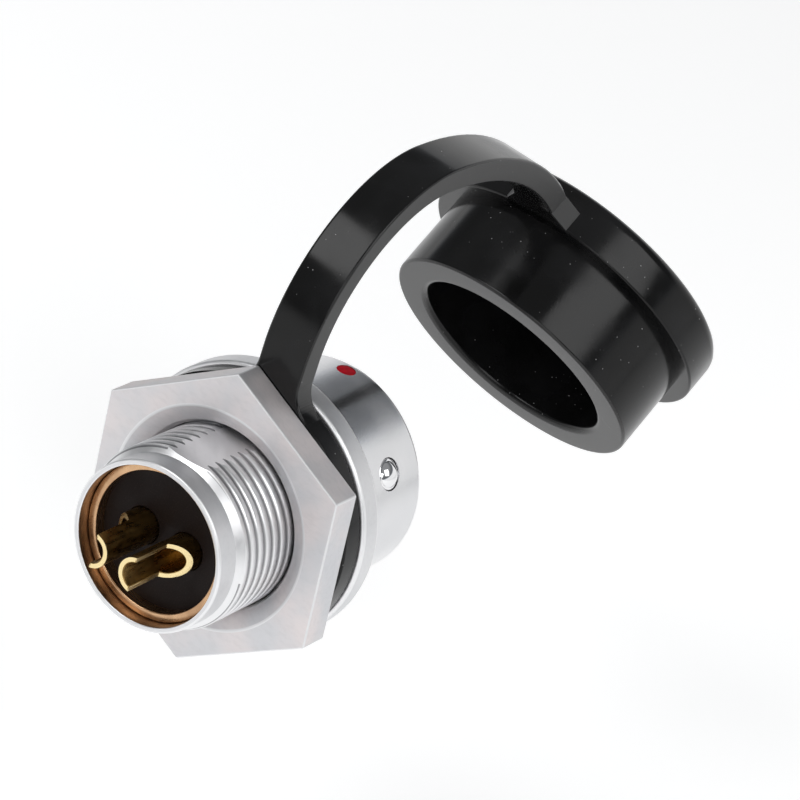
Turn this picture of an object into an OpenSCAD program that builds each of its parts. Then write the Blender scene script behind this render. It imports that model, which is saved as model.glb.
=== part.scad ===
// Panel-mount circular sensor connector with a rear nut and a tethered rubber dust cap.
// X runs along the connector axis to the mating end, Z runs up through the strap's root.
// The origin is the centre of the flange's rear face. Sizes are in millimetres.

/* [Shell] */
// Major diameter of the panel thread on the tail
thread_d = 14; // [13:0.5:16]
// Length of the tail behind the flange
tail_l = 12; // [11:0.5:16]
// Step in radius from the thread down to the plain lead-in at the rear rim
lead_in_step = 0.5; // [0.3:0.05:0.7]
// Length of the plain lead-in
lead_in_l = 1.9; // [1:0.1:3]
// Wall of the rear rim
rim_wall = 0.45; // [0.3:0.05:0.8]
// Depth of the flat that stops the tail from turning in its panel hole
flat_depth = 0.2; // [0.1:0.05:0.4]
// Diameter of the flange
flange_d = 21.4; // [20:0.2:26]
// Thickness of the flange
flange_t = 2; // [1.5:0.1:4]
// Diameter of the front barrel
barrel_d = 17.1; // [16.5:0.1:18.5]
// Length of the front barrel in front of the flange
barrel_l = 8.85; // [8:0.05:14]
// Wall of the front barrel round the mating cavity
barrel_wall = 2.3; // [2.2:0.05:2.6]
// Thickness of the inner web that the insulator rests against
web_t = 2; // [1:0.1:3]
// Step in radius from the rear bore to the hole in the web
web_lip = 0.75; // [0.5:0.05:1.2]
// Width of the polarising key in the mating cavity
key_w = 2; // [1:0.1:3]
// Height of the polarising key
key_h = 0.9; // [0.4:0.1:1.1]
// Distance from the mating edge back to the key
key_setback = 1.2; // [0.5:0.1:3]
// Turn of the key, the dot, the flat and the contacts away from the strap's plane, in degrees
key_clock = -4; // [-10:1:10]
// Bevel on the shell's outer edges
edge_bevel = 0.3; // [0.1:0.05:0.4]

/* [Locking balls and dot] */
// Diameter of a locking ball
ball_d = 2.5; // [1.8:0.1:2.6]
// Height of a ball above the barrel
ball_proud = 0.45; // [0.35:0.05:0.7]
// Distance from the flange's rear face to the row of balls
ball_x = 6.9; // [4.5:0.1:8]
// Diameter of the alignment dot
dot_d = 1.5; // [1:0.1:2]
// Depth of the alignment dot
dot_depth = 0.3; // [0.15:0.05:0.5]
// Distance from the mating edge to the centre of the dot
dot_setback = 1.25; // [1.2:0.05:1.9]

/* [Nut] */
// Amount by which the nut's width across its flats is smaller than the flange
nut_inset = 0.8; // [0:0.1:2]
// Thickness of the nut
nut_t = 2.6; // [2:0.1:4]
// Width of the countersink on the nut's rear face
nut_sink_w = 1.5; // [0.5:0.1:2]
// Depth of that countersink
nut_sink_depth = 0.7; // [0.3:0.1:1]
// Bevel of the thread's mouth on the nut's front face
nut_front_bevel = 0.4; // [0.2:0.1:0.6]
// Turn of the nut as it was tightened, in degrees
nut_clock = -8; // [-30:1:30]

/* [Insert] */
// Distance from the rear rim to the insulator's rear face
insert_setback = 2.2; // [1.6:0.1:3]
// Thickness of the retaining ring
retainer_t = 1.1; // [0.6:0.1:1.5]
// Width of the retaining ring's face
retainer_w = 0.7; // [0.4:0.05:0.9]
// Length of the rear insulator
rear_insulator_l = 4.8; // [3:0.1:6]
// Length of the front insulator's wide part
front_insulator_l = 4; // [3.4:0.1:6]
// Height of the insulator's nose above the bottom of the mating cavity
nose_proud = 1.5; // [0.5:0.1:2.5]
// Thickness of the ring seal's cord
seal_cord_d = 1; // [0.6:0.1:1.2]
// Slack of the seal's groove beside its cord
seal_slack = 0.2; // [0.1:0.05:0.4]

/* [Contacts] */
// Distance between the two contacts
contact_pitch = 4; // [3.6:0.1:4.4]
// Diameter of the contact pins
pin_d = 1.6; // [1:0.1:2]
// Step in radius from a pin's free part to its shank in the insulator
shank_step = 0.4; // [0.3:0.05:0.5]
// Free length of the pins in front of the insulator
pin_l = 6; // [3:0.1:6.5]
// Outer diameter of the solder cups
cup_d = 2.8; // [2.2:0.1:3]
// Wall of the solder cups
cup_wall = 0.4; // [0.25:0.05:0.6]
// Length of the solder cups behind the insulator
cup_l = 6.1; // [3.5:0.1:8]
// Length of the full round part that is left behind the insulator
cup_base_l = 1; // [0.6:0.1:2]
// Distance of the cut's plane from the contact's axis
cup_cut_inset = 0.2; // [0:0.05:0.5]
// Length of the slope at the end of the cut
cup_slope_l = 1.5; // [0.5:0.1:2]
// Step in radius from the solder cup to the contact's collar
collar_step = 0.3; // [0.15:0.05:0.35]
// Thickness of the contact's collar
collar_t = 1; // [0.6:0.1:1.5]

/* [Sealing ring and strap] */
// Amount by which the sealing ring's diameter is smaller than the flange
seal_inset = 0.6; // [0.4:0.1:2]
// Thickness of the sealing ring and of the strap
seal_t = 2; // [1.5:0.1:3]
// Rounding of the sealing ring's rim
seal_bevel = 0.4; // [0.2:0.1:0.6]
// Width of the strap
strap_w = 3.9; // [3:0.1:6]
// Straight rise of the strap above the sealing ring
strap_rise = 3.45; // [3:0.05:8]
// Radius of the bend above the strap's root, at mid thickness
root_bend_r = 12; // [9:0.5:16]
// Angle of the bend above the strap's root
root_bend_deg = 91; // [75:1:100]
// Radius of the long bend towards the cap, at mid thickness
top_bend_r = 34.5; // [28:0.5:42]
// Angle of the long bend towards the cap
top_bend_deg = 37; // [30:1:50]
// Radius of the short bend into the cap's lug, at mid thickness
end_bend_r = 5; // [3:0.5:10]
// Angle of the short bend into the cap's lug
end_bend_deg = 10; // [2:1:20]
// Radius of the fillets between the sealing ring and the strap
root_fillet = 2.5; // [1:0.1:4]

/* [Dust cap] */
// Amount by which the cap's bore is larger than the barrel
cap_slack = 0.1; // [0:0.05:0.4]
// Wall of the cap's skirt
cap_wall = 2.9; // [2:0.1:4]
// Length of the skirt from its mouth to the grip flange
cap_skirt_l = 6.95; // [5:0.05:10]
// Step in radius from the skirt to the grip flange
cap_flange_step = 1.4; // [0.8:0.1:3]
// Thickness of the grip flange
cap_flange_t = 3.85; // [3.2:0.05:6]
// Thickness of the cap's closed end
cap_top_t = 1.6; // [1:0.1:2.4]
// Rounding of the grip flange's outer edge
cap_round = 1; // [0.4:0.1:1.2]
// Bevel of the cap's mouth
mouth_bevel = 0.5; // [0.2:0.1:0.9]
// Length of the lug that joins the strap to the grip flange
lug_l = 1.2; // [0.8:0.1:3]
// Flare of the lug on each side
lug_flare = 1.1; // [0.4:0.1:2]

/* [Clearances] */
// Radial gap between seated pieces
seat_gap = 0.02; // [0.01:0.01:0.05]
// Radial gap between the nut and the thread
thread_gap = 0.06; // [0.03:0.01:0.1]
// Gap between the nut and the sealing ring
nut_gap = 0.05; // [0.02:0.01:0.2]
// Radial gap between a contact and its hole
hole_gap = 0.05; // [0.02:0.01:0.1]

/* [Hidden] */
$fn = 96;
cut = 0.5;
rounding_steps = 6;
strap_steps = 14;
end_steps = 3;
root_sink = 0.1;
ball_turns = [60, -60, 180];

thread_r = thread_d / 2;
lead_in_r = thread_r - lead_in_step;
bore_r = lead_in_r - rim_wall;
flange_r = flange_d / 2;
barrel_r = barrel_d / 2;
cavity_r = barrel_r - barrel_wall;
web_r = bore_r - web_lip;

rear_x = -tail_l;
lead_in_end_x = rear_x + lead_in_l;
front_x = flange_t + barrel_l;
insert_rear_x = rear_x + insert_setback;
split_x = insert_rear_x + rear_insulator_l;
web_rear_x = split_x + front_insulator_l;
web_front_x = web_rear_x + web_t;
nose_x = web_front_x + nose_proud;
groove_x = (split_x + collar_t + web_rear_x) / 2;

contact_y = contact_pitch / 2;
cup_r = cup_d / 2;
cup_bore_r = cup_r - cup_wall;
cup_tip_x = insert_rear_x - cup_l;
cup_cut_x = insert_rear_x - cup_base_l;
collar_r = cup_r + collar_step;
pin_r = pin_d / 2;
shank_r = pin_r + shank_step;
pin_tip_x = nose_x + pin_l;

seal_r = (flange_d - seal_inset) / 2;
seal_mid_x = -seal_t / 2;
root_base_z = seal_r - 2 * seal_bevel;
nut_front_x = -seal_t - nut_gap;
nut_rear_x = nut_front_x - nut_t;
nut_bore_r = thread_r + thread_gap;
nut_corner_r = (flange_d - nut_inset) / 2 / cos(30);

// The strap's mid line: straight up, then three bends to the front, as points with their headings
root_top = [seal_mid_x, seal_r + strap_rise];
root_end_deg = 90 - root_bend_deg;
top_end_deg = root_end_deg - top_bend_deg;
strap_end_deg = top_end_deg - end_bend_deg;
root_end = bend_end(root_top, 90, root_bend_r, root_bend_deg);
top_end = bend_end(root_end, root_end_deg, top_bend_r, top_bend_deg);
strap_end = bend_end(top_end, top_end_deg, end_bend_r, end_bend_deg);
strap_line = concat([[[seal_mid_x, root_base_z], 90], [root_top, 90]],
    bend_steps(root_top, 90, root_bend_r, root_bend_deg, strap_steps),
    bend_steps(root_end, root_end_deg, top_bend_r, top_bend_deg, strap_steps),
    bend_steps(top_end, top_end_deg, end_bend_r, end_bend_deg, end_steps));

// The cap's axis is square to the strap's end
cap_tilt = strap_end_deg + 90;
cap_bore_r = barrel_r + cap_slack / 2;
cap_r = cap_bore_r + cap_wall;
cap_flange_r = cap_r + cap_flange_step;
cap_l = cap_skirt_l + cap_flange_t;
cap_depth = cap_l - cap_top_t;
cap_seat = strap_end + (lug_l + cap_flange_r) * heading(strap_end_deg);
cap_mouth = cap_seat - (cap_skirt_l + seal_t / 2) * heading(cap_tilt);

function heading(deg) = [cos(deg), sin(deg)];
function right_of(deg) = [sin(deg), -cos(deg)];
function bend_end(start, deg, r, turn) = start + r * (right_of(deg) - right_of(deg - turn));
function bend_steps(start, deg, r, turn, steps) =
    [for (i = [1:steps]) let (part = turn * i / steps) [bend_end(start, deg, r, part), deg - part]];
function strap_edge(side) = [for (step = strap_line) step[0] + side * right_of(step[1])];
function backwards(list) = [for (i = [len(list) - 1:-1:0]) list[i]];
function quarter(centre, r, first_deg) =
    [for (i = [0:rounding_steps]) centre + r * heading(first_deg + 90 * i / rounding_steps)];

// Turns a profile of [radius, x] points round the connector axis
module turned(points) {
    rotate([0, 90, 0]) rotate_extrude() polygon(points);
}

// A round bar along the connector axis from x0 to x1
module bar(r, x0, x1) {
    translate([x0, 0, 0]) rotate([0, 90, 0]) cylinder(h = x1 - x0, r = r);
}

// Places children at both contacts
module at_contacts() {
    rotate([key_clock, 0, 0])
        for (side = [-1, 1]) translate([0, side * contact_y, 0]) children();
}

// Places children at the centre of one locking ball, with Z outwards
module at_ball(turn) {
    rotate([key_clock + turn, 0, 0])
        translate([ball_x, 0, barrel_r + ball_proud - ball_d / 2]) children();
}

// A round plug that stands in the barrel's skin at the dot
module dot_plug(r) {
    rotate([key_clock, 0, 0])
        translate([front_x - dot_setback, 0, barrel_r - dot_depth]) cylinder(h = dot_depth + cut, r = r);
}

module shell() {
    color("silver") {
        difference() {
            turned([
                [bore_r, rear_x], [lead_in_r - edge_bevel / 2, rear_x],
                [lead_in_r, rear_x + edge_bevel / 2], [lead_in_r, lead_in_end_x],
                [thread_r, lead_in_end_x + lead_in_step], [thread_r, 0],
                [flange_r - edge_bevel, 0], [flange_r, edge_bevel],
                [flange_r, flange_t - edge_bevel], [flange_r - edge_bevel, flange_t],
                [barrel_r, flange_t], [barrel_r, front_x - edge_bevel],
                [barrel_r - edge_bevel, front_x], [cavity_r + edge_bevel, front_x],
                [cavity_r, front_x - edge_bevel], [cavity_r, web_front_x],
                [web_r, web_front_x], [web_r, web_rear_x], [bore_r, web_rear_x]
            ]);
            rotate([key_clock, 0, 0])
                translate([rear_x - cut, -thread_r, thread_r - flat_depth])
                    cube([tail_l + cut, thread_d, flat_depth + cut]);
            for (turn = ball_turns) at_ball(turn) {
                sphere(r = ball_d / 2 + seat_gap);
                cylinder(h = ball_d, r = ball_d / 2 + seat_gap);
            }
            dot_plug(dot_d / 2 + seat_gap);
        }
        polarising_key();
    }
}

// The rib on the cavity's wall, in line with the dot
module polarising_key() {
    rotate([key_clock, 0, 0])
        intersection() {
            translate([web_front_x, -key_w / 2, cavity_r - key_h])
                cube([front_x - key_setback - web_front_x, key_w, key_h + barrel_wall]);
            bar(cavity_r + seat_gap, web_front_x - cut, front_x);
        }
}

module hex_nut() {
    color("lightgray")
        rotate([nut_clock, 0, 0])
            difference() {
                translate([nut_rear_x, 0, 0]) rotate([0, 90, 0])
                    linear_extrude(nut_t) circle(r = nut_corner_r, $fn = 6);
                turned([
                    [0, nut_rear_x - cut], [nut_bore_r + nut_sink_w, nut_rear_x - cut],
                    [nut_bore_r + nut_sink_w, nut_rear_x], [nut_bore_r, nut_rear_x + nut_sink_depth],
                    [nut_bore_r, nut_front_x - nut_front_bevel],
                    [nut_bore_r + nut_front_bevel, nut_front_x],
                    [nut_bore_r + nut_front_bevel, nut_front_x + cut], [0, nut_front_x + cut]
                ]);
            }
}

// Side view of the strap, from inside the sealing ring to the cap's lug
module strap_side() {
    polygon(concat(strap_edge(seal_t / 2), backwards(strap_edge(-seal_t / 2))));
}

// The concave corner between the sealing ring and one side of the strap, a little sunk into the ring
module root_corner() {
    corner_r = seal_r + root_fillet - root_sink;
    corner_y = strap_w / 2 + root_fillet;
    corner_z = sqrt(pow(corner_r, 2) - pow(corner_y, 2));
    difference() {
        polygon([[0, root_base_z], [0, corner_z], [corner_y, corner_z],
            [corner_y, corner_z] * root_base_z / corner_r]);
        translate([corner_y, corner_z]) circle(r = root_fillet);
    }
}

module seal_strap() {
    color("#161616") {
        turned([
            [thread_r + seat_gap, -seal_t], [seal_r - seal_bevel, -seal_t], [seal_r, seal_bevel - seal_t],
            [seal_r, -seal_bevel], [seal_r - seal_bevel, 0], [thread_r + seat_gap, 0]
        ]);
        translate([0, strap_w / 2, 0]) rotate([90, 0, 0]) linear_extrude(strap_w) strap_side();
        translate([-seal_t, 0, 0]) rotate([90, 0, 90]) linear_extrude(seal_t) {
            root_corner();
            mirror([1, 0]) root_corner();
        }
    }
}

// The cap stands mouth down on its own Z axis, with the strap's lug on its -X side
module cap_upright() {
    difference() {
        union() {
            rotate_extrude() polygon(concat(
                [[0, 0], [cap_r - mouth_bevel / 2, 0], [cap_r, mouth_bevel / 2], [cap_r, cap_skirt_l]],
                [[cap_flange_r, cap_skirt_l]],
                quarter([cap_flange_r - cap_round, cap_l - cap_round], cap_round, 0),
                [[0, cap_l]]
            ));
            translate([0, 0, cap_skirt_l]) linear_extrude(seal_t) strap_lug();
        }
        rotate_extrude() polygon([
            [0, -cut], [cap_bore_r + mouth_bevel, -cut], [cap_bore_r + mouth_bevel, 0],
            [cap_bore_r, mouth_bevel], [cap_bore_r, cap_depth], [0, cap_depth]
        ]);
    }
}

// Outline of the lug: the strap's width at its end, flared where it meets the flange
module strap_lug() {
    flare_y = strap_w / 2 + lug_flare;
    polygon([
        [-cap_flange_r - lug_l, -strap_w / 2], [-cap_flange_r - lug_l, strap_w / 2],
        [-sqrt(pow(cap_flange_r, 2) - pow(flare_y, 2)), flare_y], [-cap_r, flare_y],
        [-cap_r, -flare_y], [-sqrt(pow(cap_flange_r, 2) - pow(flare_y, 2)), -flare_y]
    ]);
}

module dust_cap() {
    color("#161616")
        translate([cap_mouth.x, 0, cap_mouth.y]) rotate([0, 90 - cap_tilt, 0]) cap_upright();
}

module front_insulator() {
    body_r = bore_r - seat_gap;
    nose_r = web_r - seat_gap;
    groove_half = seal_cord_d / 2 + seal_slack;
    color("#241d1b")
        difference() {
            turned([
                [0, split_x], [body_r, split_x], [body_r, groove_x - groove_half],
                [bore_r - seal_cord_d - 2 * seat_gap, groove_x - groove_half],
                [bore_r - seal_cord_d - 2 * seat_gap, groove_x + groove_half],
                [body_r, groove_x + groove_half], [body_r, web_rear_x], [nose_r, web_rear_x],
                [nose_r, nose_x], [0, nose_x]
            ]);
            at_contacts() {
                bar(shank_r + hole_gap, split_x - cut, nose_x + cut);
                bar(collar_r + hole_gap, split_x - cut, split_x + collar_t);
            }
        }
}

module rear_insulator() {
    color("#241d1b")
        difference() {
            bar(bore_r - seat_gap, insert_rear_x, split_x);
            at_contacts() bar(cup_r + hole_gap, insert_rear_x - cut, split_x + cut);
        }
}

module insulator_seal() {
    color("#303030")
        translate([groove_x, 0, 0]) rotate([0, 90, 0])
            rotate_extrude() translate([bore_r - seat_gap - seal_cord_d / 2, 0]) circle(d = seal_cord_d);
}

module retaining_ring() {
    color("#b07a4a")
        difference() {
            bar(bore_r - seat_gap, insert_rear_x - retainer_t, insert_rear_x);
            bar(bore_r - retainer_w, insert_rear_x - retainer_t - cut, insert_rear_x + cut);
        }
}

// One contact: solder cup, collar and round-nosed pin, with the cup cut open on its outer side
module contact(side) {
    color("#d8a93a")
        rotate([key_clock, 0, 0]) translate([0, side * contact_y, 0])
            difference() {
                turned(concat(
                    [[cup_bore_r, cup_tip_x], [cup_r, cup_tip_x], [cup_r, split_x], [collar_r, split_x],
                        [collar_r, split_x + collar_t], [shank_r, split_x + collar_t], [shank_r, nose_x],
                        [pin_r, nose_x]],
                    quarter([0, pin_tip_x - pin_r], pin_r, 0),
                    [[0, insert_rear_x], [cup_bore_r, insert_rear_x]]
                ));
                cup_opening(side);
            }
}

// What is cut away on the outer side of a solder cup, with a slope at its inner end
module cup_opening(side) {
    translate([0, 0, -cup_d]) linear_extrude(2 * cup_d) polygon([
        [cup_tip_x - cut, -side * cup_cut_inset], [cup_cut_x - cup_slope_l, -side * cup_cut_inset],
        [cup_cut_x, side * cup_r], [cup_cut_x, side * cup_d], [cup_tip_x - cut, side * cup_d]
    ]);
}

module contact_left() {
    contact(1);
}

module contact_right() {
    contact(-1);
}

module locking_ball(turn) {
    color("gainsboro") at_ball(turn) sphere(d = ball_d);
}

module locking_ball_right() {
    locking_ball(ball_turns[0]);
}

module locking_ball_left() {
    locking_ball(ball_turns[1]);
}

module locking_ball_lower() {
    locking_ball(ball_turns[2]);
}

module alignment_dot() {
    color("#9c1016")
        intersection() {
            dot_plug(dot_d / 2);
            bar(barrel_r, flange_t, front_x);
        }
}

shell();
hex_nut();
seal_strap();
dust_cap();
front_insulator();
rear_insulator();
insulator_seal();
retaining_ring();
contact_left();
contact_right();
locking_ball_right();
locking_ball_left();
locking_ball_lower();
alignment_dot();
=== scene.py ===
"""Dressed scene of a panel-mount circular sensor connector with a tethered rubber dust cap.

X runs along the connector axis to the mating end and Z runs up through the strap's root. The sizes in
the classes are millimetres. Every mesh is made in metres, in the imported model's own frame.
"""

import logging
import math
from collections.abc import Callable, Iterable, Sequence
from dataclasses import dataclass
from enum import Enum

import bmesh
import bpy
from bmesh.types import BMEdge, BMesh, BMFace, BMVert
from mathutils import Matrix, Vector, noise


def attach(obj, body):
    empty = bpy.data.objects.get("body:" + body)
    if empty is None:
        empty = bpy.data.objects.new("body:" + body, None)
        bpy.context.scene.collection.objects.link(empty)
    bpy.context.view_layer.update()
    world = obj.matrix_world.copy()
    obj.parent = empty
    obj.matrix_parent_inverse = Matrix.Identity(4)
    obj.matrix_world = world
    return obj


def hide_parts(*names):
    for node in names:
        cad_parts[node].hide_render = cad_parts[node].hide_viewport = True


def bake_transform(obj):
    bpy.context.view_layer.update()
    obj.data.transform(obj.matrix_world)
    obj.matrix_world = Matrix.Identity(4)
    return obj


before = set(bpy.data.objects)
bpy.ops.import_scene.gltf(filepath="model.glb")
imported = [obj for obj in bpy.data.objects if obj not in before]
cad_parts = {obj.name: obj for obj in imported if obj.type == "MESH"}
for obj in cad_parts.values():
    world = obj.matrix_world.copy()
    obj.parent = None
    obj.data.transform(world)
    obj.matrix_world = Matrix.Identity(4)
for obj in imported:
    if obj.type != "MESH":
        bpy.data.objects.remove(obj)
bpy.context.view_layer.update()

LOG = logging.getLogger("connector")
MM = 0.001  # one millimetre in metres
HAIR = 0.01  # millimetres that tell one ring or face from the next
TOUCH = 1e-7  # metres within which points are one
CLOCK = -4.0  # turn of the key, dot, balls, tail flat and contacts round the axis, in degrees
SMOOTH_ANGLE = 35.0  # faces that meet at more degrees keep a sharp edge
Colour = tuple[float, float, float]
Point2 = tuple[float, float]
Point3 = tuple[float, float, float]


class Body(Enum):
    """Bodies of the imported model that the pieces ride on."""

    CONNECTOR = "connector"
    NUT = "nut"
    CAP = "cap"


class Slot(Enum):
    """Material slots of the record, which are handed to the pieces but not used."""

    SHELL = "plated_shell"
    NUT = "plated_nut"
    RUBBER = "rubber"
    INSULATOR = "insulator"
    SEAL = "seal_rubber"
    COPPER = "copper_ring"
    GILT = "gilt"
    CHROME = "ball_chrome"
    ENAMEL = "red_enamel"


class Axis(Enum):
    """Axes that a profile is spun round, each with the direction in which its radius is drawn."""

    CONNECTOR = ((1, 0, 0), (0, 0, 1))
    UPRIGHT = ((0, 0, 1), (1, 0, 0))

    @property
    def along(self) -> Vector:
        """Direction of the axis."""
        return Vector(self.value[0])

    @property
    def out(self) -> Vector:
        """Direction of the profile's radius."""
        return Vector(self.value[1])

    def place(self, co: Vector) -> Point2:
        """Place of a point as millimetres along the axis and away from it."""
        along = co.dot(self.along)
        return along / MM, (co - along * self.along).length / MM


class BallPlace(Enum):
    """Places of the locking balls, as their turn from the dot in degrees."""

    RIGHT = 60.0
    LEFT = -60.0
    LOWER = 180.0


class Side(Enum):
    """Sides of the axis that the contacts stand on, as the sign of Y."""

    LEFT = 1
    RIGHT = -1


class FinishTree:
    """Node tree of one finish, with short calls for the nodes that the finishes share."""

    def __init__(self, name: str) -> None:
        """Start a material with a plain shader.

        Args:
            name: Name of the finish.
        """
        self.material = bpy.data.materials.new(name)
        self.material.use_nodes = True
        self.tree = self.material.node_tree
        self.shader = self.tree.nodes["Principled BSDF"]

    def add(self, kind: str, inputs: dict[str | int, object], **settings: object) -> bpy.types.Node:
        """Add a node and feed its sockets.

        Args:
            kind: Node type.
            inputs: Value or source socket of each input, by its name or number.
            settings: Properties of the node itself.

        Returns:
            The new node.
        """
        node = self.tree.nodes.new(kind)
        for name, value in settings.items():
            setattr(node, name, value)
        for name, value in inputs.items():
            self.feed(node.inputs[name], value)
        return node

    def feed(self, socket: bpy.types.NodeSocket, value: object) -> None:
        """Link a source to a socket, or set the socket's own value.

        Args:
            socket: Socket to feed.
            value: Source socket, number or colour.
        """
        if isinstance(value, bpy.types.NodeSocket):
            self.tree.links.new(value, socket)
        else:
            socket.default_value = (*value, 1.0) if socket.type == "RGBA" else value

    def dress(self, **inputs: object) -> None:
        """Feed the shader's sockets, with spaces written as underscores."""
        for name, value in inputs.items():
            self.feed(self.shader.inputs[name.replace("_", " ")], value)

    def spot(self, stretch: Point3 = (1, 1, 1)) -> bpy.types.NodeSocket:
        """Object coordinates, stretched along each axis."""
        source = self.add("ShaderNodeTexCoord", {}).outputs["Object"]
        return self.add("ShaderNodeMapping", {"Vector": source, "Scale": stretch}).outputs["Vector"]

    def noise(self, spot: bpy.types.NodeSocket, size: float, detail: float = 2.0) -> bpy.types.NodeSocket:
        """Soft noise whose lumps are about the given size in millimetres."""
        inputs = {"Vector": spot, "Scale": 1 / (size * MM), "Detail": detail}
        return self.add("ShaderNodeTexNoise", inputs).outputs["Fac"]

    def ranged(self, value: bpy.types.NodeSocket, low: float, high: float, first: float = 0.0,
               last: float = 1.0) -> bpy.types.NodeSocket:
        """Map a value from one range to another and hold it there.

        Args:
            value: Socket to map.
            low: Value that becomes first.
            high: Value that becomes last.
            first: Result at low.
            last: Result at high.

        Returns:
            The mapped value's socket.
        """
        inputs = {"Value": value, "From Min": low, "From Max": high, "To Min": first, "To Max": last}
        return self.add("ShaderNodeMapRange", inputs, interpolation_type="SMOOTHSTEP").outputs["Result"]

    def spread(self, swing: bpy.types.NodeSocket, first: float = 0.0,
               last: float = 1.0) -> bpy.types.NodeSocket:
        """Spread soft noise, which mostly stays between 0.3 and 0.7, over a range."""
        return self.ranged(swing, 0.3, 0.7, first, last)

    def sums(self, operation: str, first: object, second: object) -> bpy.types.NodeSocket:
        """Combine two values by a named operation."""
        return self.add("ShaderNodeMath", {0: first, 1: second}, operation=operation).outputs["Value"]

    def mixed(self, share: bpy.types.NodeSocket, first: object, second: object) -> bpy.types.NodeSocket:
        """Mix two colours, each a colour or a socket."""
        return self.add("ShaderNodeMix", {0: share, 6: first, 7: second}, data_type="RGBA").outputs[2]

    def wear_and_sheen(self) -> bpy.types.NodeSocket:
        """Mask of the marked faces, from the mesh's own attribute: worn edges and thread flats on metal,
        painted highlight on cup rims and painted sheen on rubber.
        """
        return self.add("ShaderNodeAttribute", {}, attribute_name=Bench.WEAR_AND_SHEEN_LAYER).outputs["Fac"]

    def bump(self, height: bpy.types.NodeSocket, depth: float, strength: float) -> bpy.types.NodeSocket:
        """Normal that is bumped by a share of a height, with a depth in millimetres."""
        inputs = {"Height": height, "Distance": depth * MM, "Strength": strength}
        return self.add("ShaderNodeBump", inputs).outputs["Normal"]


@dataclass(frozen=True)
class SatinPlate:
    """Blasted metal under a satin plating, mottled by its tool marks and brighter on worn edges."""

    name: str
    tint: Colour
    shade: Colour
    edge: Colour
    roughness: float
    grain: float
    mottle: float
    mark: Colour = (0.3, 0.3, 0.305)

    def material(self) -> bpy.types.Material:
        """Make the finish.

        Returns:
            The finish's material.
        """
        tree = FinishTree(self.name)
        spot = tree.spot()
        cloud = tree.noise(spot, size=5.0, detail=3.0)
        blast = tree.noise(spot, self.grain, detail=1.0)
        rough = tree.spread(cloud, self.roughness - 0.04, self.roughness + 0.05)
        clean = tree.mixed(tree.spread(cloud), self.shade, self.tint)
        marks = tree.noise(tree.spot((1, 0.4, 1)), size=0.3, detail=4.0)
        plate = tree.mixed(tree.ranged(marks, 0.42, 0.7, last=self.mottle), clean, self.mark)
        tree.dress(
            Base_Color=tree.mixed(tree.wear_and_sheen(), plate, self.edge),
            Metallic=1.0,
            Roughness=rough,
            Normal=tree.bump(blast, depth=0.006, strength=0.6),
        )
        return tree.material


@dataclass(frozen=True)
class CutThread:
    """Plated thread whose grooves are painted dark as painted shade, with the crest colour on its crests and
    on its flat.
    """

    name: str
    crest: Colour
    groove: Colour
    crest_r: float
    groove_r: float

    def material(self) -> bpy.types.Material:
        """Make the finish.

        Returns:
            The finish's material.
        """
        tree = FinishTree(self.name)
        spot = tree.spot()
        axes = tree.add("ShaderNodeSeparateXYZ", {"Vector": spot})
        across = tree.add("ShaderNodeCombineXYZ", {"Y": axes.outputs["Y"], "Z": axes.outputs["Z"]})
        radius = tree.add("ShaderNodeVectorMath", {0: across.outputs["Vector"]}, operation="LENGTH")
        # Painted shade: the colour falls from the crest colour to the groove colour as the radius sinks into
        # the grooves; marked faces keep the crest colour.
        height = tree.ranged(radius.outputs["Value"], self.groove_r * MM, self.crest_r * MM)
        drawn = tree.noise(tree.spot((6, 1, 1)), size=0.5)
        tree.dress(
            Base_Color=tree.mixed(tree.sums("MAXIMUM", height, tree.wear_and_sheen()), self.groove, self.crest),
            Metallic=1.0,
            Roughness=tree.spread(drawn, 0.32, 0.42),
            Normal=tree.bump(drawn, depth=0.003, strength=0.4),
        )
        return tree.material


@dataclass(frozen=True)
class CopperFlash:
    """Turned copper-coloured metal with fine rings and a darker tarnish."""

    name: str
    tint: Colour
    tarnish: Colour
    roughness: float

    def material(self) -> bpy.types.Material:
        """Make the finish.

        Returns:
            The finish's material.
        """
        tree = FinishTree(self.name)
        rings = tree.noise(tree.spot((30, 1, 1)), size=2.0)
        stain = tree.noise(tree.spot(), size=2.5, detail=3.0)
        colour = tree.mixed(tree.ranged(stain, 0.35, 0.7), self.tint, self.tarnish)
        tree.dress(
            Base_Color=colour,
            Metallic=1.0,
            Roughness=tree.spread(rings, self.roughness - 0.05, self.roughness + 0.07),
            Normal=tree.bump(rings, depth=0.01, strength=0.5),
        )
        return tree.material


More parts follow.
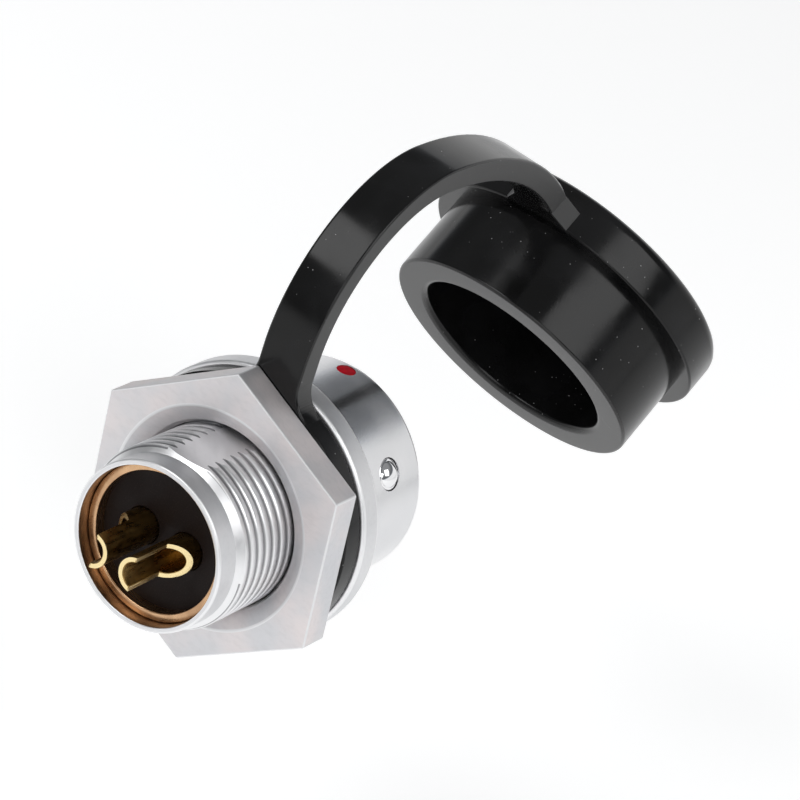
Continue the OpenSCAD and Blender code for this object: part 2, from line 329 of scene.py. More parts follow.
@dataclass(frozen=True)
class MouldedRubber:
    """Black moulded rubber with a fine skin, faint flow marks, specks of dust, and marked faces that are
    matt and painted a lighter grey as painted sheen.
    """

    name: str
    tint: Colour
    bloom: Colour
    painted_sheen: Colour
    dust: Colour
    roughness: float
    speck: float
    bare_share: float = 0.6
    matt_roughness: float = 0.5
    gloss: float = 0.22

    def material(self) -> bpy.types.Material:
        """Make the finish.

        Returns:
            The finish's material.
        """
        tree = FinishTree(self.name)
        spot = tree.spot()
        cloud = tree.noise(spot, size=4.0, detail=4.0)
        skin = tree.noise(spot, size=0.12)
        cells = tree.add("ShaderNodeTexVoronoi", {"Vector": spot, "Scale": 1 / (self.speck * MM)})
        draw = tree.add("ShaderNodeSeparateColor", {"Color": cells.outputs["Color"]}).outputs["Red"]
        lone = tree.sums("GREATER_THAN", draw, self.bare_share)
        round_speck = tree.ranged(cells.outputs["Distance"], 0.06, 0.15, 1.0, 0.0)
        patchy = tree.ranged(tree.noise(spot, size=2.5), 0.5, 0.62)
        specks = tree.sums("MULTIPLY", tree.sums("MULTIPLY", lone, round_speck), patchy)
        skin_hue = tree.mixed(tree.ranged(cloud, 0.35, 0.75), self.tint, self.bloom)
        # Painted sheen: marked faces take the lighter painted_sheen grey instead of the black skin.
        hue = tree.mixed(tree.wear_and_sheen(), skin_hue, self.painted_sheen)
        rough = tree.spread(cloud, self.roughness - 0.05, self.roughness + 0.06)
        tree.dress(
            Base_Color=tree.mixed(specks, hue, self.dust),
            Roughness=tree.sums("MAXIMUM", rough, tree.sums("MULTIPLY", tree.wear_and_sheen(), self.matt_roughness)),
            Specular_IOR_Level=self.gloss,
            Normal=tree.bump(skin, depth=0.004, strength=0.5),
        )
        return tree.material


@dataclass(frozen=True)
class MouldedResin:
    """Dark insulating resin with a dull moulded face and fine filler grain."""

    name: str
    tint: Colour
    filler: Colour
    roughness: float
    gloss: float = 0.12

    def material(self) -> bpy.types.Material:
        """Make the finish.

        Returns:
            The finish's material.
        """
        tree = FinishTree(self.name)
        spot = tree.spot()
        grain = tree.noise(spot, size=0.1)
        cloud = tree.noise(spot, size=2.0, detail=3.0)
        tree.dress(
            Base_Color=tree.mixed(tree.ranged(grain, 0.5, 0.75), self.tint, self.filler),
            Roughness=tree.spread(cloud, self.roughness - 0.06, self.roughness + 0.08),
            Specular_IOR_Level=self.gloss,
            Normal=tree.bump(grain, depth=0.006, strength=0.5),
        )
        return tree.material


@dataclass(frozen=True)
class GiltPlate:
    """Gold plating with drawn streaks, a browner tarnish, and a paler colour on the marked cut rims as
    painted highlight.
    """

    name: str
    tint: Colour
    tarnish: Colour
    rim: Colour
    roughness: float

    def material(self) -> bpy.types.Material:
        """Make the finish.

        Returns:
            The finish's material.
        """
        tree = FinishTree(self.name)
        streak = tree.noise(tree.spot((0.2, 1, 1)), size=0.25)
        stain = tree.noise(tree.spot(), size=0.9, detail=3.0)
        gold = tree.mixed(tree.ranged(stain, 0.45, 0.75, last=0.7), self.tint, self.tarnish)
        tree.dress(
            # Painted highlight: the marked cut rims take the paler rim colour.
            Base_Color=tree.mixed(tree.wear_and_sheen(), gold, self.rim),
            Metallic=1.0,
            Roughness=tree.spread(streak, self.roughness - 0.05, self.roughness + 0.08),
            Normal=tree.bump(streak, depth=0.01, strength=0.5),
        )
        return tree.material


@dataclass(frozen=True)
class PolishedSteel:
    """Polished ball steel with hair scratches."""

    name: str
    tint: Colour
    roughness: float

    def material(self) -> bpy.types.Material:
        """Make the finish.

        Returns:
            The finish's material.
        """
        tree = FinishTree(self.name)
        hairs = tree.noise(tree.spot((1, 8, 1)), size=0.4)
        tree.dress(
            Base_Color=self.tint,
            Metallic=1.0,
            Roughness=tree.ranged(hairs, 0.4, 0.8, self.roughness, self.roughness + 0.08),
            Normal=tree.bump(hairs, depth=0.001, strength=0.3),
        )
        return tree.material


@dataclass(frozen=True)
class FilledEnamel:
    """Enamel that was filled into a drilled spot, slightly mottled."""

    name: str
    tint: Colour
    deep: Colour
    gloss: float = 0.03

    def material(self) -> bpy.types.Material:
        """Make the finish.

        Returns:
            The finish's material.
        """
        tree = FinishTree(self.name)
        cloud = tree.noise(tree.spot(), size=0.35)
        tree.dress(
            Base_Color=tree.mixed(tree.ranged(cloud, 0.35, 0.65), self.deep, self.tint),
            Roughness=tree.spread(cloud, 0.4, 0.5),
            Specular_IOR_Level=self.gloss,
            Normal=tree.bump(cloud, depth=0.02, strength=0.4),
        )
        return tree.material


class Bench:
    """Steps in mesh making that several pieces share."""

    WEAR_AND_SHEEN_LAYER = "wear_and_sheen_layer"

    @staticmethod
    def spun(points: Sequence[Point2], steps: int, axis: Axis = Axis.CONNECTOR) -> BMesh:
        """Spin a profile into a closed body.

        Args:
            points: Profile as millimetres along the axis and away from it.
            steps: Number of sides round the axis.
            axis: Axis to spin round.

        Returns:
            The body's mesh.
        """
        bm = bmesh.new()
        verts = [bm.verts.new((along * axis.along + out * axis.out) * MM) for along, out in points]
        edges = [bm.edges.new(pair) for pair in zip(verts, verts[1:])]
        bmesh.ops.spin(bm, geom=verts + edges, cent=(0, 0, 0), axis=axis.along, angle=math.tau,
                       steps=steps, use_merge=True)
        return Bench.closed(bm)

    @staticmethod
    def closed(bm: BMesh) -> BMesh:
        """Merge a mesh's seams and poles and turn its faces outwards.

        Args:
            bm: Mesh to close.

        Returns:
            The same mesh.
        """
        bmesh.ops.remove_doubles(bm, verts=bm.verts, dist=TOUCH)
        bmesh.ops.dissolve_degenerate(bm, dist=TOUCH / 10, edges=bm.edges)
        bmesh.ops.recalc_face_normals(bm, faces=bm.faces)
        return bm

    @staticmethod
    def mark(bm: BMesh, faces: Iterable[BMFace], share: float = 1.0) -> None:
        """Mark faces, wholly or by a share: worn edges on metal, painted highlight on cup rims and painted
        sheen on rubber.

        Args:
            bm: Mesh that holds the faces.
            faces: Faces to mark.
            share: Strength of the mark from 0 to 1.
        """
        layer = bm.loops.layers.float.get(Bench.WEAR_AND_SHEEN_LAYER) or bm.loops.layers.float.new(Bench.WEAR_AND_SHEEN_LAYER)
        for face in faces:
            for loop in face.loops:
                loop[layer] = share

    @staticmethod
    def rounded(bm: BMesh, edges: Iterable[BMEdge], width: float, segments: int = 3,
                wear_and_sheen: bool = True) -> None:
        """Round edges and mark the new faces for wear and sheen, or leave them unmarked.

        Args:
            bm: Mesh that holds the edges.
            edges: Edges to round.
            width: Width of the rounding in millimetres.
            segments: Number of faces across the rounding.
            wear_and_sheen: Whether the new faces are marked.
        """
        made = bmesh.ops.bevel(bm, geom=list(edges), offset=width * MM, offset_type="OFFSET",
                               segments=segments, profile=0.5, affect="EDGES", clamp_overlap=True,
                               material=-1)
        Bench.mark(bm, made["faces"], float(wear_and_sheen))

    @staticmethod
    def round_rings(bm: BMesh, rings: dict[Point2, float], axis: Axis = Axis.CONNECTOR,
                    segments: int = 3, wear_and_sheen: bool = True) -> None:
        """Round the circular edges of a spun body.

        Args:
            bm: Mesh of the body.
            rings: Width of the rounding at each profile point, in millimetres.
            axis: Axis of the body.
            segments: Number of faces across each rounding.
            wear_and_sheen: Whether the new faces are marked.
        """
        for spot, width in rings.items():
            ring = Bench.among(bm.edges, lambda vert: math.dist(axis.place(vert.co), spot) < HAIR / 10)
            Bench.rounded(bm, ring, width, segments, wear_and_sheen)

    @staticmethod
    def sharp(bm: BMesh, degrees: float) -> list[BMEdge]:
        """Edges whose two faces meet at more than an angle."""
        return [edge for edge in bm.edges
                if len(edge.link_faces) == 2 and edge.calc_face_angle() > math.radians(degrees)]

    @staticmethod
    def among(edges: Iterable[BMEdge], test: Callable[[BMVert], bool]) -> list[BMEdge]:
        """Edges whose vertices all pass a test."""
        return [edge for edge in edges if all(test(vert) for vert in edge.verts)]

    @staticmethod
    def moved(bm: BMesh, matrix: Matrix) -> BMesh:
        """Carry a whole mesh to its place."""
        bmesh.ops.transform(bm, matrix=matrix, verts=bm.verts)
        return bm

    @staticmethod
    def turned(bm: BMesh, degrees: float, axis: str = "X") -> BMesh:
        """Turn a whole mesh round an axis of the frame."""
        return Bench.moved(bm, Matrix.Rotation(math.radians(degrees), 4, axis))

    @staticmethod
    def sliced(bm: BMesh, spot: Point3, way: Point3, clear: bool = False) -> None:
        """Cut a whole mesh along a plane, and clear what lies beyond it if asked."""
        bmesh.ops.bisect_plane(bm, geom=[*bm.verts, *bm.edges, *bm.faces], dist=TOUCH, plane_co=spot,
                               plane_no=way, clear_outer=clear)

    @staticmethod
    def joined(*meshes: BMesh) -> BMesh:
        """Put several meshes into the first of them.

        Args:
            meshes: Meshes to join. All but the first are freed.

        Returns:
            The first mesh, with all of them.
        """
        first = meshes[0]
        for other in meshes[1:]:
            carrier = bpy.data.meshes.new("carrier")
            other.to_mesh(carrier)
            other.free()
            first.from_mesh(carrier)
            bpy.data.meshes.remove(carrier)
        return first

    @staticmethod
    def ring_on(bm: BMesh, edges: list[BMEdge], move: Callable[[Vector], Vector]) -> list[BMEdge]:
        """Extrude a loop of edges and move the new loop.

        Args:
            bm: Mesh that holds the loop.
            edges: Edges of the loop.
            move: New place of each point.

        Returns:
            The new loop's edges.
        """
        made = bmesh.ops.extrude_edge_only(bm, edges=edges)["geom"]
        rim = {item for item in made if isinstance(item, BMVert)}
        for vert in rim:
            vert.co = move(vert.co.copy())
        return [item for item in made if isinstance(item, BMEdge) and set(item.verts) <= rim]

    @staticmethod
    def grown(bm: BMesh, face: BMFace, step: Vector, widen: float = 1.0) -> BMFace:
        """Extrude a bar's end face.

        Args:
            bm: Mesh that holds the bar.
            face: End face.
            step: Way that the new end goes, in millimetres.
            widen: Factor on the new end's width along Y.

        Returns:
            The new end face.
        """
        first = all(edge.is_boundary for edge in face.edges)
        made = bmesh.ops.extrude_face_region(bm, geom=[face], use_keep_orig=first)["geom"]
        end = next(item for item in made if isinstance(item, BMFace))
        bmesh.ops.translate(bm, verts=end.verts, vec=step * MM)
        bmesh.ops.scale(bm, verts=end.verts, vec=(1, widen, 1))
        if not first and face.is_valid:
            bmesh.ops.delete(bm, geom=[face], context="FACES_ONLY")
        return end

    @staticmethod
    def swung(bm: BMesh, face: BMFace, centre: Vector, degrees: float) -> BMFace:
        """Sweep a bar's end face one step round a bend whose axis is Y.

        Args:
            bm: Mesh that holds the bar.
            face: End face.
            centre: Centre of the bend in millimetres.
            degrees: Angle of the step.

        Returns:
            The end face after the step.
        """
        made = bmesh.ops.spin(bm, geom=[face, *face.edges, *face.verts], cent=centre * MM, axis=(0, 1, 0),
                              angle=math.radians(degrees), steps=1, use_merge=False)
        if face.is_valid:
            bmesh.ops.delete(bm, geom=[face], context="FACES_ONLY")
        return next(item for item in made["geom_last"] if isinstance(item, BMFace))

    @staticmethod
    def drilled_bar(outer: float, holes: Sequence[Point3], start: float,
                    end: float, sides: int) -> BMesh:
        """Make a round bar along the connector axis with holes through it.

        Args:
            outer: Radius of the bar in millimetres.
            holes: Y, Z and radius of each hole.
            start: Place of the bar's rear face.
            end: Place of the bar's front face.
            sides: Number of sides of the bar.

        Returns:
            The bar's mesh.
        """
        bm = bmesh.new()
        upright = Matrix.Rotation(math.pi / 2, 4, "Y")
        for y, z, radius, segments in ((0, 0, outer, sides), *((*hole, sides // 3) for hole in holes)):
            bmesh.ops.create_circle(bm, cap_ends=False, segments=segments, radius=radius * MM,
                                    matrix=Matrix.Translation(Vector((start, y, z)) * MM) @ upright)
        bmesh.ops.triangle_fill(bm, use_beauty=True, edges=bm.edges)
        made = bmesh.ops.extrude_face_region(bm, geom=bm.faces[:])["geom"]
        bmesh.ops.translate(bm, verts=[item for item in made if isinstance(item, BMVert)],
                            vec=((end - start) * MM, 0, 0))
        return Bench.closed(bm)

    @staticmethod
    def piece(bm: BMesh, name: str, finishes: Sequence[bpy.types.Material], slot: Slot,
              nodes: Sequence[str] = ()) -> bpy.types.Object:
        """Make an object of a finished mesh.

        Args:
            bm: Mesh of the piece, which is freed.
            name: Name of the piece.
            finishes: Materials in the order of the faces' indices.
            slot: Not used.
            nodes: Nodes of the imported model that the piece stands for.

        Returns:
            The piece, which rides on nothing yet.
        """
        mesh = bpy.data.meshes.new(name)
        bm.to_mesh(mesh)
        bm.free()
        mesh.shade_smooth()
        mesh.set_sharp_from_angle(angle=math.radians(SMOOTH_ANGLE))
        for finish in finishes:
            mesh.materials.append(finish)
        piece = bpy.data.objects.new(name, mesh)
        bpy.context.scene.collection.objects.link(piece)
        even = piece.modifiers.new("even_normals", "WEIGHTED_NORMAL")
        even.keep_sharp = True
        if nodes:
            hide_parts(*nodes)
        LOG.info("made %s with %d faces", name, len(mesh.polygons))
        return piece


@dataclass(frozen=True)
class Finishes:
    """The finishes of the whole connector."""

    barrel: SatinPlate = SatinPlate(
        "satin_barrel_plate", tint=(0.72, 0.72, 0.73), shade=(0.66, 0.665, 0.68), edge=(0.8, 0.8, 0.81),
        roughness=0.2, grain=0.09, mottle=0.02)
    rear: SatinPlate = SatinPlate(
        "satin_rear_plate", tint=(0.72, 0.72, 0.73), shade=(0.66, 0.665, 0.68), edge=(0.8, 0.8, 0.81),
        roughness=0.4, grain=0.09, mottle=0.05)
    nut: SatinPlate = SatinPlate(
        "satin_nut_plate", tint=(0.77, 0.725, 0.725), shade=(0.64, 0.645, 0.665), edge=(0.78, 0.78, 0.79),
        roughness=0.56, grain=0.11, mottle=0.07)
    # The groove colour is painted shade in the thread's grooves.
    thread: CutThread = CutThread(
        "cut_thread_plate_painted_groove_shade", crest=(0.8, 0.8, 0.81), groove=(0.3, 0.3, 0.31), crest_r=6.96, groove_r=6.875)
    copper: CopperFlash = CopperFlash(
        "copper_flash", tint=(0.66, 0.42, 0.24), tarnish=(0.44, 0.265, 0.15), roughness=0.24)
    bronze: CopperFlash = CopperFlash(
        "bronze_bore_flash", tint=(0.42, 0.29, 0.19), tarnish=(0.2, 0.135, 0.09), roughness=0.3)
    # painted_sheen is the lighter grey that paints sheen on the strap's and lug's sides and on the cap's
    # mouth rim.
    rubber: MouldedRubber = MouldedRubber(
        "moulded_rubber", tint=(0.0045, 0.0045, 0.0045), bloom=(0.008, 0.008, 0.0085),
        painted_sheen=(0.06, 0.06, 0.06), dust=(0.3, 0.3, 0.3), roughness=0.17, speck=0.42)
    seal: MouldedRubber = MouldedRubber(
        "seal_ring_rubber", tint=(0.02, 0.02, 0.02), bloom=(0.03, 0.03, 0.03),
        painted_sheen=(0.04, 0.04, 0.04), dust=(0.1, 0.1, 0.1), roughness=0.45, speck=0.6)
    resin: MouldedResin = MouldedResin(
        "insulator_resin", tint=(0.01, 0.0065, 0.006), filler=(0.02, 0.014, 0.013), roughness=0.5)
    pin: GiltPlate = GiltPlate(
        "gilt_pin", tint=(0.88, 0.64, 0.25), tarnish=(0.62, 0.4, 0.12), rim=(0.95, 0.76, 0.4), roughness=0.2)
    # Painted shade: the cup's gilt is much darker than the pin's, for the shade in the rear bore; its pale
    # rim colour is a painted highlight.
    cup: GiltPlate = GiltPlate(
        "cup_gilt_painted_shade", tint=(0.3, 0.185, 0.06), tarnish=(0.1, 0.06, 0.022), rim=(0.86, 0.7, 0.38),
        roughness=0.3)
    ball: PolishedSteel = PolishedSteel("polished_ball_steel", tint=(0.8, 0.8, 0.81), roughness=0.05)
    enamel: FilledEnamel = FilledEnamel(
        "red_dot_enamel", tint=(0.4, 0.003, 0.012), deep=(0.27, 0.0015, 0.007))


@dataclass
class Shell:
    """Shell of the connector: threaded tail, flange and barrel, with its pockets and its key."""

    rear: float = -12.0
    bore_r: float = 6.05
    lead_in_r: float = 6.5
    lead_in_end: float = -10.1
    thread_r: float = 7.0
    thread_depth: float = 0.14
    thread_pitch: float = 0.92
    thread_end: float = -0.02
    thread_steps: int = 96
    thread_flanks: tuple[Point2, ...] = ((0.26, 0.03), (0.32, 0.0), (0.68, 0.0), (0.74, 0.03))
    thread_root: Point2 = (0.1, 0.9)
    lead_in_cuts: tuple[float, ...] = (0.15, 0.3, 0.5)
    core_r: float = 6.3
    flat_z: float = 6.72
    flange_r: float = 10.7
    flange_t: float = 2.0
    barrel_r: float = 8.55
    front: float = 10.85
    cavity_r: float = 6.25
    web_r: float = 5.3
    web_rear: float = -1.0
    web_front: float = 1.0
    key_w: float = 2.0
    key_h: float = 0.9
    key_end: float = 9.65
    key_root: float = 0.3
    key_round: float = 0.15
    ball_x: float = 6.9
    ball_hole_r: float = 1.27
    ball_hole_depth: float = 1.3
    ball_margin: float = 0.45
    dot_x: float = 9.6
    dot_hole_r: float = 0.77
    dot_depth: float = 0.3
    dot_margin: float = 0.1
    skin_slack: Point2 = (0.05, 0.1)
    bore_round: float = 0.1
    tail_round: float = 0.16
    edge_round: float = 0.3
    step_round: float = 0.15
    sides: int = 144

    def body(self) -> BMesh:
        """Spin the shell without its thread, with a bronze-coloured bore and a duller rear.

        Returns:
            The shell's mesh, with its key.
        """
        bm = Bench.spun([
            (self.rear, self.bore_r), (self.rear, self.lead_in_r), (0, self.lead_in_r),
            (0, self.flange_r), (self.flange_t, self.flange_r), (self.flange_t, self.barrel_r),
            (self.front, self.barrel_r), (self.front, self.cavity_r), (self.web_front, self.cavity_r),
            (self.web_front, self.web_r), (self.web_rear, self.web_r), (self.web_rear, self.bore_r),
            (self.rear, self.bore_r),
        ], self.sides)
        for place in BallPlace:
            self.pocket(bm, self.ball_x, place.value, self.ball_hole_r, self.ball_hole_depth,
                        self.ball_margin)
        self.pocket(bm, self.dot_x, 0.0, self.dot_hole_r, self.dot_depth, self.dot_margin)
        Bench.round_rings(bm, {
            (self.rear, self.bore_r): self.bore_round, (self.rear, self.lead_in_r): self.tail_round,
            (0, self.flange_r): self.edge_round, (self.flange_t, self.flange_r): self.edge_round,
            (self.flange_t, self.barrel_r): self.step_round, (self.front, self.barrel_r): self.edge_round,
            (self.front, self.cavity_r): self.edge_round,
        })
        for face in bm.faces:
            along, out = Axis.CONNECTOR.place(face.calc_center_median())
            bore = along < self.web_rear and out < self.bore_r + 2 * HAIR
            face.material_index = 1 if bore else 2 if along < self.flange_t - HAIR else 0
        return Bench.joined(bm, self.key())

    def pocket(self, bm: BMesh, x: float, turn: float, radius: float, depth: float, margin: float) -> None:
        """Sink a round pocket into the barrel.

        Args:
            bm: Mesh of the shell.
            x: Place of the pocket along the connector axis.
            turn: Turn of the pocket round the axis, from the dot, in degrees.
            radius: Radius of the pocket.
            depth: Depth of the pocket.
            margin: Width of the barrel's skin that is laid anew round the pocket.
        """
        angle = math.radians(CLOCK + turn)
        out = Vector((0, -math.sin(angle), math.cos(angle)))
        side = Vector((0, math.cos(angle), math.sin(angle)))
        reach = radius + margin
        for plane in (x - reach, x + reach):
            Bench.sliced(bm, (plane * MM, 0, 0), (1, 0, 0))
        skin = [face for face in bm.faces if self.on_skin(face, x, out, side, reach)]
        bmesh.ops.delete(bm, geom=skin, context="FACES")
        rim = [edge for edge in bm.edges if edge.is_boundary]
        place = Matrix(((1, 0, 0, x * MM), (0, side.y, out.y, 0), (0, side.z, out.z, 0), (0, 0, 0, 1)))
        made = bmesh.ops.create_circle(bm, cap_ends=False, segments=len(rim), radius=radius * MM,
                                       matrix=place)["verts"]
        for vert in made:
            across = vert.co.dot(side)
            vert.co += out * math.sqrt((self.barrel_r * MM) ** 2 - across ** 2)
        ring = list(dict.fromkeys(edge for vert in made for edge in vert.link_edges))
        bmesh.ops.bridge_loops(bm, edges=rim + ring)
        floor = Bench.ring_on(bm, ring, lambda co: co - out * depth * MM)
        bmesh.ops.edgeloop_fill(bm, edges=floor)
        bmesh.ops.recalc_face_normals(bm, faces=bm.faces)

    def on_skin(self, face: BMFace, x: float, out: Vector, side: Vector, reach: float) -> bool:
        """Tell if a face of the barrel lies where a pocket goes.

        Args:
            face: Face to test.
            x: Place of the pocket along the connector axis.
            out: Direction from the axis to the pocket.
            side: Direction round the axis at the pocket.
            reach: Half width of the skin that goes.

        Returns:
            True if the face goes.
        """
        middle = face.calc_center_median()
        along, away = Axis.CONNECTOR.place(middle)
        depth_slack, side_slack = self.skin_slack
        return (abs(away - self.barrel_r) < depth_slack and middle.dot(out) > 0 and abs(along - x) < reach
                and abs(middle.dot(side)) < (reach + side_slack) * MM)

    def key(self) -> BMesh:
        """Make the polarising rib on the cavity's wall.

        Returns:
            The rib's mesh.
        """
        bm = bmesh.new()
        bmesh.ops.create_cube(bm, size=1.0)
        length, height = self.key_end - self.web_front, self.key_h + self.key_root
        bmesh.ops.scale(bm, verts=bm.verts, vec=Vector((length, self.key_w, height)) * MM)
        bmesh.ops.translate(bm, verts=bm.verts, vec=Vector((
            self.web_front + length / 2, 0, self.cavity_r - self.key_h + height / 2)) * MM)
        Bench.rounded(bm, bm.edges[:], self.key_round, segments=2)
        return Bench.turned(bm, CLOCK)

    def wound(self) -> BMesh:
        """Wind the thread's profile a little past both ends of the tail.

        Returns:
            The open mesh of the winding.
        """
        per_turn, spare, pitch = self.thread_steps, 2 * self.thread_pitch, self.thread_pitch
        turns = math.ceil((spare * 2 - self.lead_in_end) / pitch)
        root_r, (root_end, root_start) = self.thread_r - self.thread_depth, self.thread_root
        flanks = [(x, self.thread_r - drop) for x, drop in self.thread_flanks]
        profile = [(0.0, root_r), (root_end, root_r), *flanks, (root_start, root_r), (pitch, root_r)]
        bm = bmesh.new()
        verts = [bm.verts.new(Vector((self.lead_in_end - spare + x, 0, r)) * MM) for x, r in profile]
        edges = [bm.edges.new(pair) for pair in zip(verts, verts[1:])]
        bmesh.ops.spin(bm, geom=verts + edges, cent=(0, 0, 0), axis=(1, 0, 0),
                       dvec=(pitch / per_turn * MM, 0, 0), angle=math.tau * turns,
                       steps=per_turn * turns, use_merge=False)
        bmesh.ops.remove_doubles(bm, verts=bm.verts, dist=20 * TOUCH)
        return bm

    def thread(self) -> BMesh:
        """Wind the tail's thread, trim it, chamfer its start and press its flat.

        Returns:
            The thread's mesh.
        """
        bm, ends = self.wound(), (self.lead_in_end, self.thread_end)
        for x, toward in zip(ends, (-1, 1)):
            Bench.sliced(bm, (x * MM, 0, 0), (toward, 0, 0), clear=True)
        self.chamfer(bm)
        rims = [edge for edge in bm.edges if edge.is_boundary]
        loops = [Bench.among(rims, lambda vert: abs(vert.co.x - x * MM) < 10 * TOUCH) for x in ends]
        inner = [edge for loop in loops for edge in Bench.ring_on(bm, loop, self.to_core)]
        bmesh.ops.bridge_loops(bm, edges=inner)
        Bench.sliced(bm, (0, 0, self.flat_z * MM), (0, 0, 1))
        high = [vert for vert in bm.verts if vert.co.z > self.flat_z * MM]
        plane = Matrix.Translation((0, 0, -self.flat_z * MM))
        bmesh.ops.scale(bm, verts=high, vec=(1, 1, 0), space=plane)
        bmesh.ops.recalc_face_normals(bm, faces=bm.faces)
        cone_end = (self.lead_in_end + self.thread_r - self.lead_in_r) * MM
        # The flat and the lead-in cone are marked so that they keep the crest colour, clear of the painted
        # groove shade.
        Bench.mark(bm, [face for face in bm.faces if all(
            abs(vert.co.z - self.flat_z * MM) < TOUCH / 10 or vert.co.x < cone_end - 10 * TOUCH
            for vert in face.verts)])
        return Bench.turned(bm, CLOCK)

    def to_core(self, co: Vector) -> Vector:
        """Place on the hidden core below a point of the thread's end."""
        return Vector((co.x, *(co.yz.normalized() * self.core_r * MM)))

    def chamfer(self, bm: BMesh) -> None:
        """Press the thread's first turn onto the cone that leads in to it.

        Args:
            bm: Mesh of the thread.
        """
        for x in self.lead_in_cuts:
            Bench.sliced(bm, ((self.lead_in_end + x) * MM, 0, 0), (1, 0, 0))
        for vert in bm.verts:
            along, out = Axis.CONNECTOR.place(vert.co)
            cone = self.lead_in_r + max(0.0, along - self.lead_in_end)
            if out > cone:
                vert.co.yz *= cone / out

    def build(self, finishes: Finishes) -> None:
        """Make and dress the shell's pieces.

        Args:
            finishes: The connector's finishes.
        """
        plates = [finish.material() for finish in (finishes.barrel, finishes.bronze, finishes.rear)]
        body = Bench.piece(self.body(), "shell_body", plates, Slot.SHELL, ["shell"])
        thread = Bench.piece(self.thread(), "tail_thread", [finishes.thread.material()], Slot.SHELL)
        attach(body, Body.CONNECTOR.value)
        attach(thread, Body.CONNECTOR.value)


@dataclass
class BallsAndDot:
    """The three locking balls with their staked lips, and the red alignment dot."""

    shell: Shell
    ball_r: float = 1.25
    ball_proud: float = 0.45
    lip_r: float = 1.2
    lip_form: tuple[Point2, ...] = (
        (0.05, 0.2), (0.08, 0.1), (0.14, 0.02), (0.2, 0.0), (0.6, 0.0), (0.6, 0.2), (0.05, 0.2))
    dot_r: float = 0.75
    dot_dome: float = 0.02
    dot_sink: float = 0.04
    dot_edge: float = 0.06
    dome_shares: tuple[float, ...] = (0.0, 0.35, 0.7, 0.92)

    def at(self, x: float, turn: float, height: float) -> Matrix:
        """Place on the barrel, with Z outwards.

        Args:
            x: Place along the connector axis.
            turn: Turn from the dot in degrees.
            height: Distance from the axis.

        Returns:
            The place's matrix.
        """
        return (Matrix.Rotation(math.radians(CLOCK + turn), 4, "X")
                @ Matrix.Translation(Vector((x, 0, height)) * MM))

    def ball(self, turn: float) -> BMesh:
        """Make one ball and the thin lip that holds it in its pocket.

        Args:
            turn: Turn of the ball from the dot, in degrees.

        Returns:
            The mesh of both.
        """
        bm = bmesh.new()
        bmesh.ops.create_icosphere(bm, subdivisions=5, radius=self.ball_r * MM)
        centre = self.shell.barrel_r + self.ball_proud - self.ball_r
        skin = self.ball_r - self.ball_proud
        lip = Bench.spun([(skin - depth, self.lip_r - inset) for depth, inset in self.lip_form],
                         steps=64, axis=Axis.UPRIGHT)
        return Bench.moved(Bench.joined(bm, lip), self.at(self.shell.ball_x, turn, centre))

    def dot(self) -> BMesh:
        """Make the slightly domed dot.

        Returns:
            The dot's mesh.
        """
        foot = -self.shell.dot_depth
        dome = [(self.dot_dome * math.cos(share * math.pi / 2) - self.dot_sink, self.dot_r * share)
                for share in self.dome_shares]
        bm = Bench.spun([*dome, (-self.dot_edge, self.dot_r), (foot, self.dot_r), (foot, 0)],
                        steps=48, axis=Axis.UPRIGHT)
        return Bench.moved(bm, self.at(self.shell.dot_x, 0.0, self.shell.barrel_r))

    def build(self, finishes: Finishes) -> None:
        """Make and dress the balls and the dot.

        Args:
            finishes: The connector's finishes.
        """
        chrome = finishes.ball.material()
        for place in BallPlace:
            name = place.name.lower()
            ball = Bench.piece(self.ball(place.value), f"held_ball_{name}", [chrome], Slot.CHROME,
                               [f"locking_ball_{name}"])
            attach(ball, Body.CONNECTOR.value)
        dot = Bench.piece(self.dot(), "enamel_dot", [finishes.enamel.material()], Slot.ENAMEL,
                          ["alignment_dot"])
        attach(dot, Body.CONNECTOR.value)


